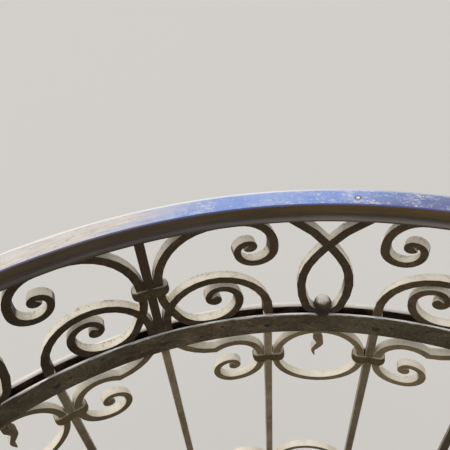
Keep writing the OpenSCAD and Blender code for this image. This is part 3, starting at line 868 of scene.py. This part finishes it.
fixings = {
    "wall": {"stud": 0.0060, "nut": 0.0105, "nutHigh": 0.0085, "washer": 0.0120, "end": 0.006},
    "frame": {"stud": 0.0080, "nut": 0.0138, "nutHigh": 0.0120, "washer": 0.0160, "end": 0.008},
    "ledgerPlaces": (-0.85, -0.30, 0.30, 0.85), "legHeights": (-0.120, -0.710),
    "plateHeights": (0.28, 0.86), "plateAside": 0.026,
    "screwEvery": 7.0, "screwRadius": 0.862, "screwClear": 2.5, "screwSides": 16,
    "screwHead": [(0.0065, -0.0004), (0.0065, 0.0004), (0.0052, 0.0009), (0.0002, 0.0010)],
    "bead": 0.0022, "beadOut": 0.0006, "beadLeast": 0.92, "beadMore": 0.16, "beadEnd": 0.25, "beadTurn": 45,
    "armHalf": 0.018,
}
# heights in metres off the surface; foot, head, core, crest and end are shares of the nut's radius or
# the stud's
anchor = {"seat": 0.0002, "washerTop": 0.0022, "washerBevel": 0.0004, "washerRim": 0.0005,
          "washerSides": 28, "nutSeat": 0.0024, "nutBevel": 0.0012, "nutFoot": 0.93, "nutHead": 0.90,
          "nutSides": 6, "pitch": 0.0015, "core": 0.86, "crest": 0.98, "end": 0.7, "endHigh": 0.0008,
          "tip": 0.0003, "tipHigh": 0.0001, "threadSides": 18}
brackets = ("bracket_left", "bracket_middle", "bracket_right")


def addAnchor(shape, middle, out, size):
    # a washer, a nut with its corners taken off, and the end of the stud
    stud, washer, nut, a = size["stud"], size["washer"], size["nut"], anchor
    turned(shape, middle, out, [
        (stud, a["seat"]), (washer, a["seat"]), (washer, a["washerTop"] - a["washerBevel"]),
        (washer - a["washerRim"], a["washerTop"]), (stud, a["washerTop"])], a["washerSides"])
    foot, head = a["nutSeat"], a["nutSeat"] + size["nutHigh"]
    turned(shape, middle, out, [
        (stud, foot), (nut * a["nutFoot"], foot), (nut, foot + a["nutBevel"]), (nut, head - a["nutBevel"]),
        (nut * a["nutHead"], head), (stud, head)], a["nutSides"])
    thread = [(stud * a["core"], 0.0)]
    for i in range(int((size["nutHigh"] + size["end"]) / a["pitch"])):
        thread += [(stud * a["core"], a["pitch"] * i), (stud * a["crest"], a["pitch"] * (i + 0.5))]
    last = thread[-1][1] + a["endHigh"]
    thread += [(stud * a["end"], last), (a["tip"], last + a["tipHigh"])]
    turned(shape, middle, out, thread, a["threadSides"])


def addWeld(shape, points, key):
    # a rippled bead along a line of points, thin at both ends
    bead = fixings["bead"]
    steps = []
    for a, b in zip(points, points[1:]):
        count = max(2, int((b - a).length / bead))
        steps += [a.lerp(b, i / count) for i in range(count)]
    steps.append(points[-1])
    last = len(steps) - 1
    rows = []
    for i, p in enumerate(steps):
        ahead = (steps[min(i + 1, last)] - steps[max(i - 1, 0)]).normalized()
        side = ahead.orthogonal().normalized()
        other = ahead.cross(side)
        wide = bead * (fixings["beadLeast"] + fixings["beadMore"] * steadyRandom(i, key))
        if i in (0, last):
            wide *= fixings["beadEnd"]
        rows.append([p + (side * math.cos(math.radians(g)) + other * math.sin(math.radians(g))) * wide
                     for g in range(0, 360, fixings["beadTurn"])])
    shape.grid(rows)


def middleX(name):
    # halfway across a node
    low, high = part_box(name)
    return (low[0] + high[0]) / 2


facingRoom = Vector((0, -1, 0))
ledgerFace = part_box("wall_ledger")[0][1]
shape = Shape()
railingHigh = bow["handrailTop"] - bow["floorTop"]
for side in (-1, 1):
    for aside in (-fixings["plateAside"], fixings["plateAside"]):
        for part in fixings["plateHeights"]:
            place = Vector((side * bow["radius"] + aside, ledgerFace, bow["floorTop"] + part * railingHigh))
            addAnchor(shape, place, facingRoom, fixings["wall"])
shape.piece("wallPlateAnchors", rivetPaint, "frame_iron")

shape = Shape()
for x in fixings["ledgerPlaces"]:
    addAnchor(shape, Vector((x * bow["radius"], ledgerFace, 0)), facingRoom, fixings["frame"])
for name in brackets:
    for z in fixings["legHeights"]:
        addAnchor(shape, Vector((middleX(name), ledgerFace, z)), facingRoom, fixings["frame"])
shape.piece("frameAnchors", rivetPaint, "frame_iron")

# low round screw heads hold the floor plates to the edge beam, clear of the balusters' feet
shape = Shape()
for i in range(int(2 * plainAngles[-1] / fixings["screwEvery"]) + 1):
    angle = plainAngles[0] + i * fixings["screwEvery"]
    if min(abs(angle - a) for a in plainAngles) > fixings["screwClear"]:
        place = onBow(angle, fixings["screwRadius"], bow["floorTop"])
        turned(shape, place, bowFrame(angle)[2], fixings["screwHead"], fixings["screwSides"])
shape.piece("floorScrews", rivetPaint, "floor_iron")

# beads round each plain baluster on its foot, and down both sides of each bracket's arm on its wall leg
shape = Shape()
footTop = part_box("baluster_feet")[1][2]
first = bow["half"] + fixings["beadOut"]
corners = [(first, first), (-first, first), (-first, -first), (first, -first), (first, first)]
for i, angle in enumerate(plainAngles):
    along, out, up = bowFrame(angle)
    middle = onBow(angle, bow["radius"], footTop + fixings["beadOut"])
    addWeld(shape, [middle + along * a + out * b for a, b in corners], i)
for j, name in enumerate(brackets):
    for side in (-1, 1):
        x = middleX(name) + side * (bow["bracketHalf"] + fixings["beadOut"])
        ends = [Vector((x, ledgerFace - fixings["beadOut"], end * fixings["armHalf"])) for end in (-1, 1)]
        addWeld(shape, ends, j + 10)
shape.piece("welds", wornAndHighlitEdge, "frame_iron")
print("fixings and welds made")


# Floor and light

studio = {"floorHalf": 14, "floorHeight": -0.95, "floorColour": (0.70, 0.67, 0.62, 1),
          "floorRoughness": 0.95, "worldColour": (0.95, 0.97, 1.0, 1), "world": 0.55,
          "sky": 1.5, "skyAngle": 55.0, "skyFrom": (0.55, -0.45, 1.0), "skyAway": 4}

half, height = studio["floorHalf"], studio["floorHeight"]
floorCorners = [(x * half, y * half, height) for x, y in ((-1, -1), (1, -1), (1, 1), (-1, 1))]
floorMesh = bpy.data.meshes.new("studioFloor")
floorMesh.from_pydata(floorCorners, [], [(0, 1, 2, 3)])
floor = bpy.data.objects.new("studioFloor", floorMesh)
scene.collection.objects.link(floor)
floorMaterial = bpy.data.materials.new("paleFloor")
floorMaterial.use_nodes = True
floorShader = floorMaterial.node_tree.nodes["Principled BSDF"]
floorShader.inputs["Base Color"].default_value = studio["floorColour"]
floorShader.inputs["Roughness"].default_value = studio["floorRoughness"]
floorMesh.materials.append(floorMaterial)

world = bpy.data.worlds.new("studio")
scene.world = world
world.use_nodes = True
world.node_tree.nodes["Background"].inputs["Color"].default_value = studio["worldColour"]
world.node_tree.nodes["Background"].inputs["Strength"].default_value = studio["world"]

skyData = bpy.data.lights.new("softSky", "SUN")
skyData.energy = studio["sky"]
skyData.angle = math.radians(studio["skyAngle"])
skyLamp = bpy.data.objects.new("softSky", skyData)
skyLamp.location = Vector(studio["skyFrom"]) * studio["skyAway"]
skyLamp.rotation_mode = "QUATERNION"
skyLamp.rotation_quaternion = Vector(studio["skyFrom"]).to_track_quat("Z", "Y")
scene.collection.objects.link(skyLamp)


# Camera at the photograph's place: inside the bow, above the handrail, looking down and out

# angles in degrees, and the focal length in pixels of a picture that is "wide" pixels across
view = {"place": (-0.0022, -0.2434, 1.6757), "turn": 13.135, "down": 42.286, "roll": -5.022,
        "focal": 510.07, "wide": 450, "sensor": 36, "near": 0.02}
cameraData = bpy.data.cameras.new("camera")
cameraData.lens = view["focal"] / view["wide"] * view["sensor"]
cameraData.sensor_width = view["sensor"]
cameraData.clip_start = view["near"]
camera = bpy.data.objects.new("camera", cameraData)
turn, down, roll = (math.radians(view[name]) for name in ("turn", "down", "roll"))
forward = Vector((-math.sin(turn) * math.cos(down), -math.cos(turn) * math.cos(down), -math.sin(down)))
level = Vector((-math.cos(turn), math.sin(turn), 0))
right = math.cos(roll) * level + math.sin(roll) * level.cross(forward)
axes = Matrix((right, right.cross(forward), -forward)).transposed().to_4x4()
camera.matrix_world = Matrix.Translation(view["place"]) @ axes
scene.collection.objects.link(camera)
scene.camera = camera
scene.view_settings.view_transform = "Standard"
print("camera and light set")
